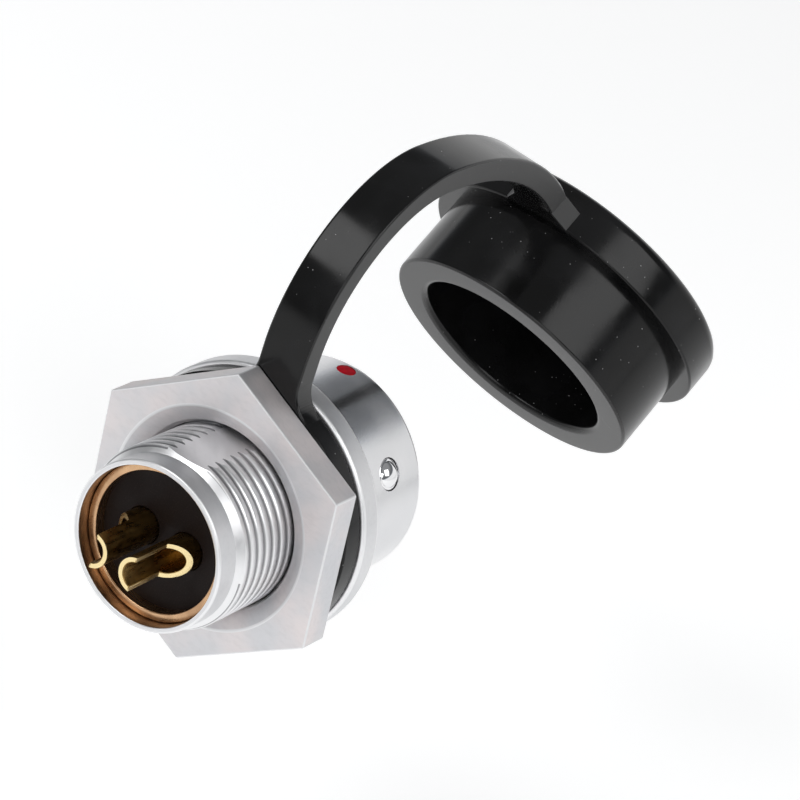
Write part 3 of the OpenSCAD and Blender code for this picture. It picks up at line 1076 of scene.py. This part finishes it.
@dataclass
class Nut:
    """Hexagonal nut with a countersunk rear face."""

    rear: float = -4.65
    front: float = -2.05
    flats: float = 20.6
    bore_r: float = 7.06
    sink_r: float = 8.56
    sink_depth: float = 0.6
    gap: float = 0.32
    front_bevel: float = 0.4
    clock: float = -8.0
    corner_to_flat: float = 30.0
    edge: float = 0.12
    sink_round: float = 0.12
    hexagon_margin: float = 0.5
    cuts: int = 15

    def mesh(self) -> BMesh:
        """Lead a hexagon through the nut's rings and back to itself.

        Returns:
            The nut's mesh.
        """
        bm = bmesh.new()
        upright = Matrix.Translation((self.rear * MM, 0, 0)) @ Matrix.Rotation(math.pi / 2, 4, "Y")
        corner_r = self.flats / 2 / math.cos(math.pi / 6)
        bmesh.ops.create_circle(bm, cap_ends=False, segments=6, radius=corner_r * MM, matrix=upright)
        bmesh.ops.subdivide_edges(bm, edges=bm.edges[:], cuts=self.cuts)
        rear = bm.edges[:]

        def ring(x: float, radius: float) -> Callable[[Vector], Vector]:
            """Give the move onto a circle at a place along the axis."""
            return lambda co: Vector((x * MM, *(co.yz.normalized() * radius * MM)))

        def back_out(co: Vector) -> Vector:
            """Move a point of the front ring out to the hexagon."""
            reach = self.flats / 2 / math.cos(math.atan2(co.z, co.y) % (math.pi / 3) - math.pi / 6)
            return Vector((self.front * MM, *(co.yz.normalized() * reach * MM)))

        loop = rear
        for x, radius in ((self.rear, self.sink_r), (self.rear + self.sink_depth, self.bore_r + self.gap),
                          (self.rear + 2 * self.sink_depth, self.bore_r),
                          (self.front - self.front_bevel, self.bore_r),
                          (self.front, self.bore_r + self.front_bevel)):
            loop = Bench.ring_on(bm, loop, ring(x, radius))
        front = Bench.ring_on(bm, loop, back_out)
        bmesh.ops.bridge_loops(bm, edges=rear + front)
        Bench.closed(bm)
        sink_r, hexagon_r = self.sink_r * MM, (self.sink_r + self.hexagon_margin) * MM
        hexagon = Bench.among(Bench.sharp(bm, degrees=20), lambda vert: vert.co.yz.length > hexagon_r)
        Bench.rounded(bm, hexagon, self.edge, segments=2)
        sink = Bench.among(Bench.sharp(bm, degrees=15),
                           lambda vert: abs(vert.co.yz.length - sink_r) < 10 * TOUCH)
        Bench.rounded(bm, sink, self.sink_round, segments=2)
        return Bench.turned(bm, self.clock + self.corner_to_flat)

    def build(self, finishes: Finishes) -> None:
        """Make and dress the nut.

        Args:
            finishes: The connector's finishes.
        """
        nut = Bench.piece(self.mesh(), "rear_nut", [finishes.nut.material()], Slot.NUT, ["hex_nut"])
        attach(nut, Body.NUT.value)


@dataclass
class CapTether:
    """Sealing ring behind the flange and the strap that rises from it and bends to the cap."""

    ring_bore: float = 7.02
    ring_r: float = 10.4
    thickness: float = 2.0
    rim_round: float = 0.25
    width: float = 3.9
    rise: float = 3.45
    fillet: float = 2.5
    bends: tuple[Point2, ...] = ((12.0, 91.0), (34.5, 37.0), (5.0, 10.0))
    drift: Point2 = (1.15, 0.24)
    into_lug: float = 0.3
    edge_round: float = 0.25
    root_depth: float = 1.0
    fillet_steps: int = 14
    bend_step: float = 2.5
    matt_sheen_from: float = 0.6
    matt_sheen_over: float = 0.35
    flat_lean: float = 0.2

    def ring(self) -> BMesh:
        """Spin the sealing ring.

        Returns:
            The ring's mesh.
        """
        bm = Bench.spun([
            (-self.thickness, self.ring_bore), (-self.thickness, self.ring_r), (0, self.ring_r),
            (0, self.ring_bore), (-self.thickness, self.ring_bore),
        ], steps=128)
        Bench.round_rings(bm, {(-self.thickness, self.ring_r): self.rim_round,
                               (0, self.ring_r): self.rim_round}, segments=4, wear_and_sheen=False)
        return bm

    def sideways(self, length: float) -> float:
        """Sideways drift of the strap after a length from the ring, as it hangs in the photograph."""
        share = length / (self.rise + sum(radius * math.radians(degrees) for radius, degrees in self.bends))
        return self.drift[0] * share + self.drift[1] * share ** 2

    def root(self, bm: BMesh) -> BMFace:
        """Grow the strap's root out of the ring, with a fillet on each side.

        Args:
            bm: Mesh of the strap.

        Returns:
            The end face at the top of the straight rise.
        """
        steps, fillet_y = self.fillet_steps, self.width / 2 + self.fillet
        fillet_z = math.sqrt((self.ring_r + self.fillet) ** 2 - fillet_y ** 2)
        steep = math.atan2(fillet_z, fillet_y)
        rows = [(fillet_z - self.fillet * math.sin(turn), fillet_y - self.fillet * math.cos(turn))
                for turn in (steep * (1 - step / steps) for step in range(steps + 1))]
        level, half = rows[0][0] - self.root_depth, rows[0][1]
        face = bm.faces.new([bm.verts.new(Vector((x, y, level)) * MM) for x, y in (
            (-self.thickness, -half), (0, -half), (0, half), (-self.thickness, half))])
        face.normal_update()
        for height, wide in rows:
            face = Bench.grown(bm, face, Vector((0, 0, height - level)), wide / half)
            level, half = height, wide
        return Bench.grown(bm, face, Vector((0, self.sideways(self.rise), self.ring_r + self.rise - level)))

    def strap(self) -> BMesh:
        """Sweep the strap from its root through its bends into the lug, with matt sides painted a lighter
        grey as painted sheen.

        Returns:
            The strap's mesh.
        """
        bm = bmesh.new()
        face = self.root(bm)
        middle, heading = Vector((-self.thickness / 2, 0, self.ring_r + self.rise)), math.pi / 2
        length = self.rise
        for radius, degrees in self.bends:
            centre = middle + radius * Vector((math.sin(heading), 0, -math.cos(heading)))
            steps = math.ceil(degrees / self.bend_step)
            for _ in range(steps):
                face = Bench.swung(bm, face, centre, degrees / steps)
                further = length + radius * math.radians(degrees / steps)
                bmesh.ops.translate(bm, verts=face.verts, vec=(
                    0, (self.sideways(further) - self.sideways(length)) * MM, 0))
                length = further
            heading -= math.radians(degrees)
            middle = centre - radius * Vector((math.sin(heading), 0, -math.cos(heading)))
        face = Bench.grown(bm, face, Vector((math.cos(heading), 0, math.sin(heading))) * self.into_lug)
        Bench.closed(bm)
        lowest = min(vert.co.z for vert in bm.verts)
        ends = {face, *(side for side in bm.faces if max(vert.co.z for vert in side.verts) < lowest + TOUCH)}
        corners = [edge for edge in Bench.sharp(bm, degrees=50) if not ends & set(edge.link_faces)
                   and min(abs(side.normal.y) for side in edge.link_faces) < self.flat_lean]
        Bench.rounded(bm, corners, self.edge_round, wear_and_sheen=False)
        bm.normal_update()
        # Painted sheen: the more a face turns sideways, the more it takes the lighter painted_sheen grey and
        # the matt roughness.
        for side in bm.faces:
            painted_sheen = max(0.0, abs(side.normal.y) - self.matt_sheen_from) / self.matt_sheen_over
            Bench.mark(bm, [side], min(1.0, painted_sheen))
        return bm

    def build(self, finishes: Finishes) -> None:
        """Make the ring and strap as one piece.

        Args:
            finishes: The connector's finishes.
        """
        tether = Bench.piece(Bench.joined(self.ring(), self.strap()), "seal_ring_and_strap",
                             [finishes.rubber.material()], Slot.RUBBER, ["seal_strap"])
        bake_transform(tether)


@dataclass
class DustCap:
    """Rubber cap with a grip flange and the lug that joins it to the strap."""

    tether: CapTether
    bore_r: float = 8.6
    skirt_r: float = 11.5
    flange_r: float = 12.9
    skirt_l: float = 6.95
    length: float = 10.8
    depth: float = 9.2
    lug_l: float = 1.2
    lug_flare: float = 1.1
    lug_clock: float = -5.6
    mouth: Point2 = (36.012, 2.147)
    turn: float = 48.0
    floor_round: float = 0.8
    mouth_round: float = 0.55
    skirt_round: float = 0.25
    flange_round: float = 0.2
    crown_round: float = 1.0
    lug_round: float = 0.18
    rim_depth: float = 0.12
    rim_matt_sheen: float = 0.45
    side_lean: float = 0.3

    def cup(self) -> BMesh:
        """Spin the cap, round its lips, and paint its mouth's rim partway to a lighter grey as painted
        sheen, made rougher.

        Returns:
            The cap's mesh.
        """
        bm = Bench.spun([
            (self.depth, 0), (self.depth, self.bore_r), (0, self.bore_r), (0, self.skirt_r),
            (self.skirt_l, self.skirt_r), (self.skirt_l, self.flange_r), (self.length, self.flange_r),
            (self.length, 0),
        ], steps=160, axis=Axis.UPRIGHT)
        Bench.round_rings(bm, {
            (self.depth, self.bore_r): self.floor_round, (0, self.bore_r): self.mouth_round,
            (0, self.skirt_r): self.skirt_round, (self.skirt_l, self.flange_r): self.flange_round,
            (self.length, self.flange_r): self.crown_round,
        }, Axis.UPRIGHT, segments=4, wear_and_sheen=False)
        # Painted sheen: the mouth's rim is painted partway to the lighter grey.
        Bench.mark(bm, [face for face in bm.faces if face.calc_center_median().z < self.rim_depth * MM],
                   self.rim_matt_sheen)
        return bm

    def lug(self) -> BMesh:
        """Make the flared lug on the flange, as wide as the strap at its end.

        Returns:
            The lug's mesh.
        """
        half, flare = self.tether.width / 2, self.tether.width / 2 + self.lug_flare
        tip, foot = -self.flange_r - self.lug_l, -math.sqrt(self.flange_r ** 2 - flare ** 2)
        bm = bmesh.new()
        outline = ((tip, -half), (foot, -flare), (-self.skirt_r, -flare),
                   (-self.skirt_r, flare), (foot, flare), (tip, half))
        face = bm.faces.new([bm.verts.new(Vector((x, y, self.skirt_l)) * MM) for x, y in outline])
        face.normal_update()
        Bench.grown(bm, face, Vector((0, 0, self.tether.thickness)))
        Bench.closed(bm)
        corners = [edge for edge in Bench.sharp(bm, degrees=20)
                   if any(vert.co.x > (tip + HAIR) * MM for vert in edge.verts)]
        Bench.rounded(bm, corners, self.lug_round, wear_and_sheen=False)
        bm.normal_update()
        # Painted sheen: the lug's sides take the lighter painted_sheen grey and the matt roughness.
        Bench.mark(bm, [face for face in bm.faces if abs(face.normal.z) < self.side_lean])
        return Bench.turned(bm, self.lug_clock, "Z")

    def build(self, finishes: Finishes) -> None:
        """Make and dress the cap.

        Args:
            finishes: The connector's finishes.
        """
        place = (Matrix.Translation(Vector((self.mouth[0], 0, self.mouth[1])) * MM)
                 @ Matrix.Rotation(math.radians(self.turn), 4, "Y"))
        bm = Bench.moved(Bench.joined(self.cup(), self.lug()), place)
        cap = Bench.piece(bm, "rubber_dust_cap", [finishes.rubber.material()], Slot.RUBBER, ["dust_cap"])
        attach(cap, Body.CAP.value)


@dataclass
class Insert:
    """Two insulators, the ring seal between them and the shell, and the retaining ring."""

    shell: Shell
    rear: float = -9.8
    split: float = -5.0
    nose: float = 2.5
    gap: float = 0.02
    contact_y: float = 2.0
    cup_hole_r: float = 1.45
    shank_hole_r: float = 1.25
    ring_t: float = 1.1
    ring_inner_r: float = 5.35
    cord_r: float = 0.5
    cord_x: float = -2.5
    groove_margin: float = 0.2
    rear_round: float = 0.06
    nose_round: float = 0.15
    ring_round: float = 0.12
    sides: int = 96

    def holes(self, radius: float) -> list[Point3]:
        """Places of the two contact holes."""
        return [(side * self.contact_y, 0.0, radius) for side in (-1, 1)]

    @property
    def outer_r(self) -> float:
        """Radius of what fits the shell's rear bore."""
        return self.shell.bore_r - self.gap

    def rear_block(self) -> BMesh:
        """Make the rear insulator with its two contact holes.

        Returns:
            The block's mesh.
        """
        bm = Bench.drilled_bar(self.outer_r, self.holes(self.cup_hole_r), self.rear, self.split, self.sides)
        Bench.rounded(bm, Bench.sharp(bm, degrees=50), self.rear_round, segments=2)
        return Bench.turned(bm, CLOCK)

    def front_block(self) -> BMesh:
        """Make the front insulator: a wide part on both sides of a groove, and the nose.

        Returns:
            The block's mesh.
        """
        web_rear, groove = self.shell.web_rear, self.cord_r + self.groove_margin
        before, after = self.cord_x - groove, self.cord_x + groove
        wide, deep = self.outer_r, self.shell.bore_r - 2 * self.cord_r - 2 * self.gap
        stretches = ((wide, self.split, before), (deep, before, after), (wide, after, web_rear),
                     (self.shell.web_r - self.gap, web_rear, self.nose))
        holes = self.holes(self.shank_hole_r)
        bars = [Bench.drilled_bar(radius, holes, start, end, self.sides) for radius, start, end in stretches]
        nose = Bench.among(Bench.sharp(bars[-1], degrees=50),
                           lambda vert: abs(vert.co.x - self.nose * MM) < TOUCH)
        Bench.rounded(bars[-1], nose, self.nose_round, segments=2)
        return Bench.turned(Bench.joined(*bars), CLOCK)

    def retainer(self) -> BMesh:
        """Make the copper-coloured retaining ring with its eased edges.

        Returns:
            The ring's mesh.
        """
        start = self.rear - self.ring_t
        inner_edge, outer_edge = (start, self.ring_inner_r), (start, self.outer_r)
        bm = Bench.spun([inner_edge, outer_edge, (self.rear, self.outer_r), (self.rear, self.ring_inner_r),
                         inner_edge], steps=128)
        Bench.round_rings(bm, {inner_edge: self.ring_round, outer_edge: self.ring_round})
        return bm

    def cord(self) -> BMesh:
        """Make the ring seal.

        Returns:
            The seal's mesh.
        """
        centre = Vector((self.cord_x, 0, self.outer_r - self.cord_r)) * MM
        bm = bmesh.new()
        section = bmesh.ops.create_circle(
            bm, cap_ends=False, segments=16, radius=self.cord_r * MM,
            matrix=Matrix.Translation(centre) @ Matrix.Rotation(math.pi / 2, 4, "X"))
        bmesh.ops.spin(bm, geom=[*section["verts"], *bm.edges], cent=(0, 0, 0), axis=(1, 0, 0),
                       angle=math.tau, steps=self.sides, use_merge=True)
        return Bench.closed(bm)

    def build(self, finishes: Finishes) -> None:
        """Make and dress the insert.

        Args:
            finishes: The connector's finishes.
        """
        resin, copper = finishes.resin.material(), finishes.copper.material()
        for bm, name, finish, slot, node in (
            (self.rear_block(), "rear_insulator_block", resin, Slot.INSULATOR, "rear_insulator"),
            (self.front_block(), "front_insulator_block", resin, Slot.INSULATOR, "front_insulator"),
            (self.cord(), "ring_seal", finishes.seal.material(), Slot.SEAL, "insulator_seal"),
            (self.retainer(), "retainer_ring", copper, Slot.COPPER, "retaining_ring"),
        ):
            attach(Bench.piece(bm, name, [finish], slot, [node]), Body.CONNECTOR.value)


@dataclass
class Contact:
    """One gilt contact: a solder cup that is cut open, a collar and a round-nosed pin."""

    insert: Insert
    side: Side
    cup_r: float = 1.4
    cup_bore_r: float = 1.0
    tip: float = -15.9
    cut: float = -10.8
    slope: float = 1.5
    inset: float = 0.2
    collar_r: float = 1.7
    collar_t: float = 1.0
    shank_r: float = 1.2
    pin_r: float = 0.8
    pin_tip: float = 8.5
    rim_round: float = 0.05
    mouth_round: float = 0.15
    seat_margin: float = 0.1
    dent: float = 0.09
    dent_scale: Point3 = (180.0, 260.0, 260.0)
    dent_shift: float = 7.0
    sides: int = 64

    @property
    def cup_end(self) -> float:
        """Place in metres that the open cup stays behind."""
        return (self.insert.rear - self.seat_margin) * MM

    def mesh(self) -> BMesh:
        """Spin the contact, cut its solder cup open and give it hand-bent unevenness.

        Returns:
            The contact's mesh on its own axis.
        """
        seat, split, nose = self.insert.rear, self.insert.split, self.insert.nose
        crown = [(self.pin_tip - self.pin_r * (1 - math.sin(math.radians(angle))),
                  self.pin_r * math.cos(math.radians(angle))) for angle in range(0, 91, 15)]
        bm = Bench.spun([
            (seat, 0), (seat, self.cup_bore_r), (self.tip, self.cup_bore_r), (self.tip, self.cup_r),
            (split, self.cup_r), (split, self.collar_r), (split + self.collar_t, self.collar_r),
            (split + self.collar_t, self.shank_r), (nose, self.shank_r), (nose, self.pin_r), *crown,
        ], self.sides)
        self.cut_open(bm)
        # The cup end takes the second finish, whose darker gilt is painted shade.
        for face in bm.faces:
            face.material_index = int(face.calc_center_median().x < split * MM)
        scale, shift = Vector(self.dent_scale), Vector((0, self.dent_shift * self.side.value, 0))
        for vert in bm.verts:
            free = min(max((self.cut * MM - vert.co.x) / ((self.cut - self.tip) * MM), 0.0), 1.0)
            swing = noise.noise(vert.co * scale + shift)
            vert.co.yz += vert.co.yz.normalized() * swing * free * self.dent * MM
        return bm

    def cut_open(self, bm: BMesh) -> None:
        """Cut the cup open on its outer side, with a slope at the cut's end and rims marked for a paler
        painted highlight.

        Args:
            bm: Mesh of the contact on its own axis.
        """
        side, start, reach = self.side.value, self.cut - self.slope, self.cup_r + self.inset
        for spot, way in (((self.cut, 0, 0), (1, 0, 0)), ((start, 0, 0), (1, 0, 0)),
                          ((0, -side * self.inset, 0), (0, 1, 0)),
                          ((self.cut, side * self.cup_r, 0), (reach, -side * self.slope, 0))):
            cup = [face for face in bm.faces if face.calc_center_median().x < self.cup_end]
            near = dict.fromkeys(part for face in cup for part in (face, *face.edges, *face.verts))
            bmesh.ops.bisect_plane(bm, geom=list(near), dist=TOUCH / 10, plane_co=Vector(spot) * MM,
                                   plane_no=way)
        gone = []
        for face in bm.faces:
            middle = face.calc_center_median() / MM
            out = side * middle.y + self.inset
            if out > HAIR / 100 and middle.x < start + self.slope * out / reach - HAIR / 100:
                gone.append(face)
        bmesh.ops.delete(bm, geom=gone, context="FACES")
        wall_r = (self.cup_r + self.cup_bore_r) / 2 * MM
        rims = [edge for edge in bm.edges if edge.is_boundary
                and len({vert.co.yz.length > wall_r for vert in edge.verts}) == 1]
        made = bmesh.ops.bridge_loops(bm, edges=rims)["faces"]
        bmesh.ops.recalc_face_normals(bm, faces=bm.faces)
        # Painted highlight: the bridged rims and the tip's ring are marked for the paler rim colour.
        Bench.mark(bm, made)
        Bench.mark(bm, [face for face in bm.faces if face.calc_center_median().x < (self.tip + HAIR) * MM])
        rim = Bench.among(Bench.sharp(bm, degrees=50), lambda vert: vert.co.x < self.cup_end)
        inner = Bench.among(rim, lambda vert: vert.co.yz.length < wall_r)
        outer = Bench.among(rim, lambda vert: vert.co.yz.length > wall_r)
        Bench.rounded(bm, inner, self.mouth_round, wear_and_sheen=False)
        Bench.rounded(bm, [edge for edge in outer if edge.is_valid], self.rim_round, segments=2)

    def build(self, finishes: Finishes) -> None:
        """Make and dress the contact.

        Args:
            finishes: The connector's finishes.
        """
        name = f"contact_{self.side.name.lower()}"
        place = (Matrix.Rotation(math.radians(CLOCK), 4, "X")
                 @ Matrix.Translation((0, self.side.value * self.insert.contact_y * MM, 0)))
        piece = Bench.piece(Bench.moved(self.mesh(), place), f"gilt_{name}",
                            [finishes.pin.material(), finishes.cup.material()], Slot.GILT, [name])
        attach(piece, Body.CONNECTOR.value)


@dataclass(frozen=True)
class Softbox:
    """A soft area lamp that faces the object."""

    name: str
    toward: Point3
    distance: float
    size: Point2
    radiance: float

    def place(self, aim: Vector) -> None:
        """Set the lamp up.

        Args:
            aim: Point that the lamp faces.
        """
        light = bpy.data.lights.new(self.name, "AREA")
        light.shape = "RECTANGLE"
        light.size, light.size_y = self.size
        light.energy = self.radiance * math.pi * self.size[0] * self.size[1]
        lamp = bpy.data.objects.new(self.name, light)
        away = Vector(self.toward).normalized()
        lamp.location = aim + away * self.distance
        lamp.rotation_euler = away.to_track_quat("Z", "Y").to_euler()
        bpy.context.scene.collection.objects.link(lamp)


@dataclass
class Studio:
    """Camera at the photograph's angle, pale floor, soft lamps and a sky that darkens upwards."""

    lens: float = 180.0
    sensor: float = 36.0
    clip_start: float = 0.01
    camera_at: Point3 = (-0.22706, -0.11273, 0.15052)
    right: Point3 = (0.5465, -0.7731, 0.3221)
    up: Point3 = (0.2516, 0.5184, 0.8173)
    back: Point3 = (-0.7988, -0.3656, 0.4778)
    aim: Point3 = (0.012, 0.0, 0.01)
    floor_z: float = -0.035
    floor_size: float = 3.0
    floor_tint: Colour = (0.82, 0.82, 0.82)
    floor_glow: float = 0.42
    dimmer: Point3 = (-0.45, 0.2, 1.0)
    sky_stops: tuple[tuple[float, Colour], ...] = (
        (0.04, (1.0, 1.0, 1.0)), (0.08, (0.75, 0.78, 0.82)), (0.13, (0.24, 0.25, 0.265)),
        (0.2, (0.15, 0.155, 0.165)), (0.36, (0.15, 0.155, 0.16)), (0.65, (0.3, 0.305, 0.31)))
    softboxes: tuple[Softbox, ...] = (
        Softbox("left_softbox", toward=(-0.61, 0.37, 0.70), distance=0.6, size=(0.3, 0.3), radiance=4.2),
        Softbox("right_softbox", toward=(-0.18, -0.68, 0.70), distance=0.6, size=(0.3, 0.42), radiance=3.0),
        Softbox("front_softbox", toward=(-0.80, -0.42, 0.42), distance=0.8, size=(0.4, 0.4), radiance=2.5),
    )

    def camera(self) -> None:
        """Stand the camera where the photograph was taken from."""
        data = bpy.data.cameras.new("photo_camera")
        data.lens, data.sensor_width, data.sensor_fit = self.lens, self.sensor, "HORIZONTAL"
        data.clip_start = self.clip_start
        camera = bpy.data.objects.new("photo_camera", data)
        turn = Matrix((self.right, self.up, self.back)).transposed().to_4x4()
        camera.matrix_world = Matrix.Translation(self.camera_at) @ turn
        bpy.context.scene.collection.objects.link(camera)
        bpy.context.scene.camera = camera

    def seen(self, tree: bpy.types.NodeTree) -> bpy.types.NodeSocket:
        """Mask of the rays that show the background: camera, glossy and transmission rays.

        Args:
            tree: Node tree that gets the mask.

        Returns:
            The mask's socket.
        """
        path = tree.nodes.new("ShaderNodeLightPath")
        total = path.outputs["Is Camera Ray"]
        for name in ("Is Glossy Ray", "Is Transmission Ray"):
            add = tree.nodes.new("ShaderNodeMath")
            add.operation, add.use_clamp = "ADD", True
            tree.links.new(total, add.inputs[0])
            tree.links.new(path.outputs[name], add.inputs[1])
            total = add.outputs["Value"]
        return total

    def floor(self) -> None:
        """Lay the pale floor, which keeps the object's shadow."""
        bm = bmesh.new()
        bmesh.ops.create_grid(bm, x_segments=8, y_segments=8, size=self.floor_size / 2,
                              matrix=Matrix.Translation((0, 0, self.floor_z)))
        mesh = bpy.data.meshes.new("studio_floor")
        bm.to_mesh(mesh)
        bm.free()
        tree = FinishTree("pale_floor")
        grain = tree.noise(tree.spot(), size=40.0)
        glow = tree.sums("MULTIPLY", self.seen(tree.tree), self.floor_glow)
        tree.dress(Base_Color=self.floor_tint, Roughness=tree.spread(grain, 0.85, 0.95),
                   Specular_IOR_Level=0.0, Emission_Color=(1.0, 1.0, 1.0), Emission_Strength=glow)
        mesh.materials.append(tree.material)
        floor = bpy.data.objects.new("studio_floor", mesh)
        bpy.context.scene.collection.objects.link(floor)

    def sky(self) -> None:
        """Make the surroundings: white behind the object and near the floor, and dim overhead."""
        world = bpy.data.worlds.new("studio_sky")
        bpy.context.scene.world = world
        world.use_nodes = True
        nodes, links = world.node_tree.nodes, world.node_tree.links
        coords = nodes.new("ShaderNodeTexCoord")
        height = nodes.new("ShaderNodeVectorMath")
        height.operation = "DOT_PRODUCT"
        height.inputs[1].default_value = self.dimmer
        ramp = nodes.new("ShaderNodeValToRGB")
        links.new(coords.outputs["Generated"], height.inputs[0])
        links.new(height.outputs["Value"], ramp.inputs["Fac"])
        links.new(ramp.outputs["Color"], nodes["Background"].inputs["Color"])
        stops = ramp.color_ramp.elements
        while len(stops) < len(self.sky_stops):
            stops.new(0.5)
        for stop, (place, colour) in zip(stops, self.sky_stops):
            stop.position, stop.color = place, (*colour, 1.0)

    def build(self) -> None:
        """Set up the camera, the floor, the sky and the lamps."""
        self.camera()
        self.floor()
        self.sky()
        for softbox in self.softboxes:
            softbox.place(Vector(self.aim))
        bpy.context.scene.view_settings.view_transform = "Standard"


def main() -> None:
    """Build the studio and the connector's sub-assemblies in order."""
    logging.basicConfig(level=logging.INFO, format="%(name)s: %(message)s")
    finishes, shell, tether = Finishes(), Shell(), CapTether()
    insert = Insert(shell)
    contacts = [Contact(insert, side) for side in Side]
    Studio().build()
    for assembly in (shell, BallsAndDot(shell), Nut(), tether, DustCap(tether), insert, *contacts):
        assembly.build(finishes)


if __name__ == "__main__":
    main()
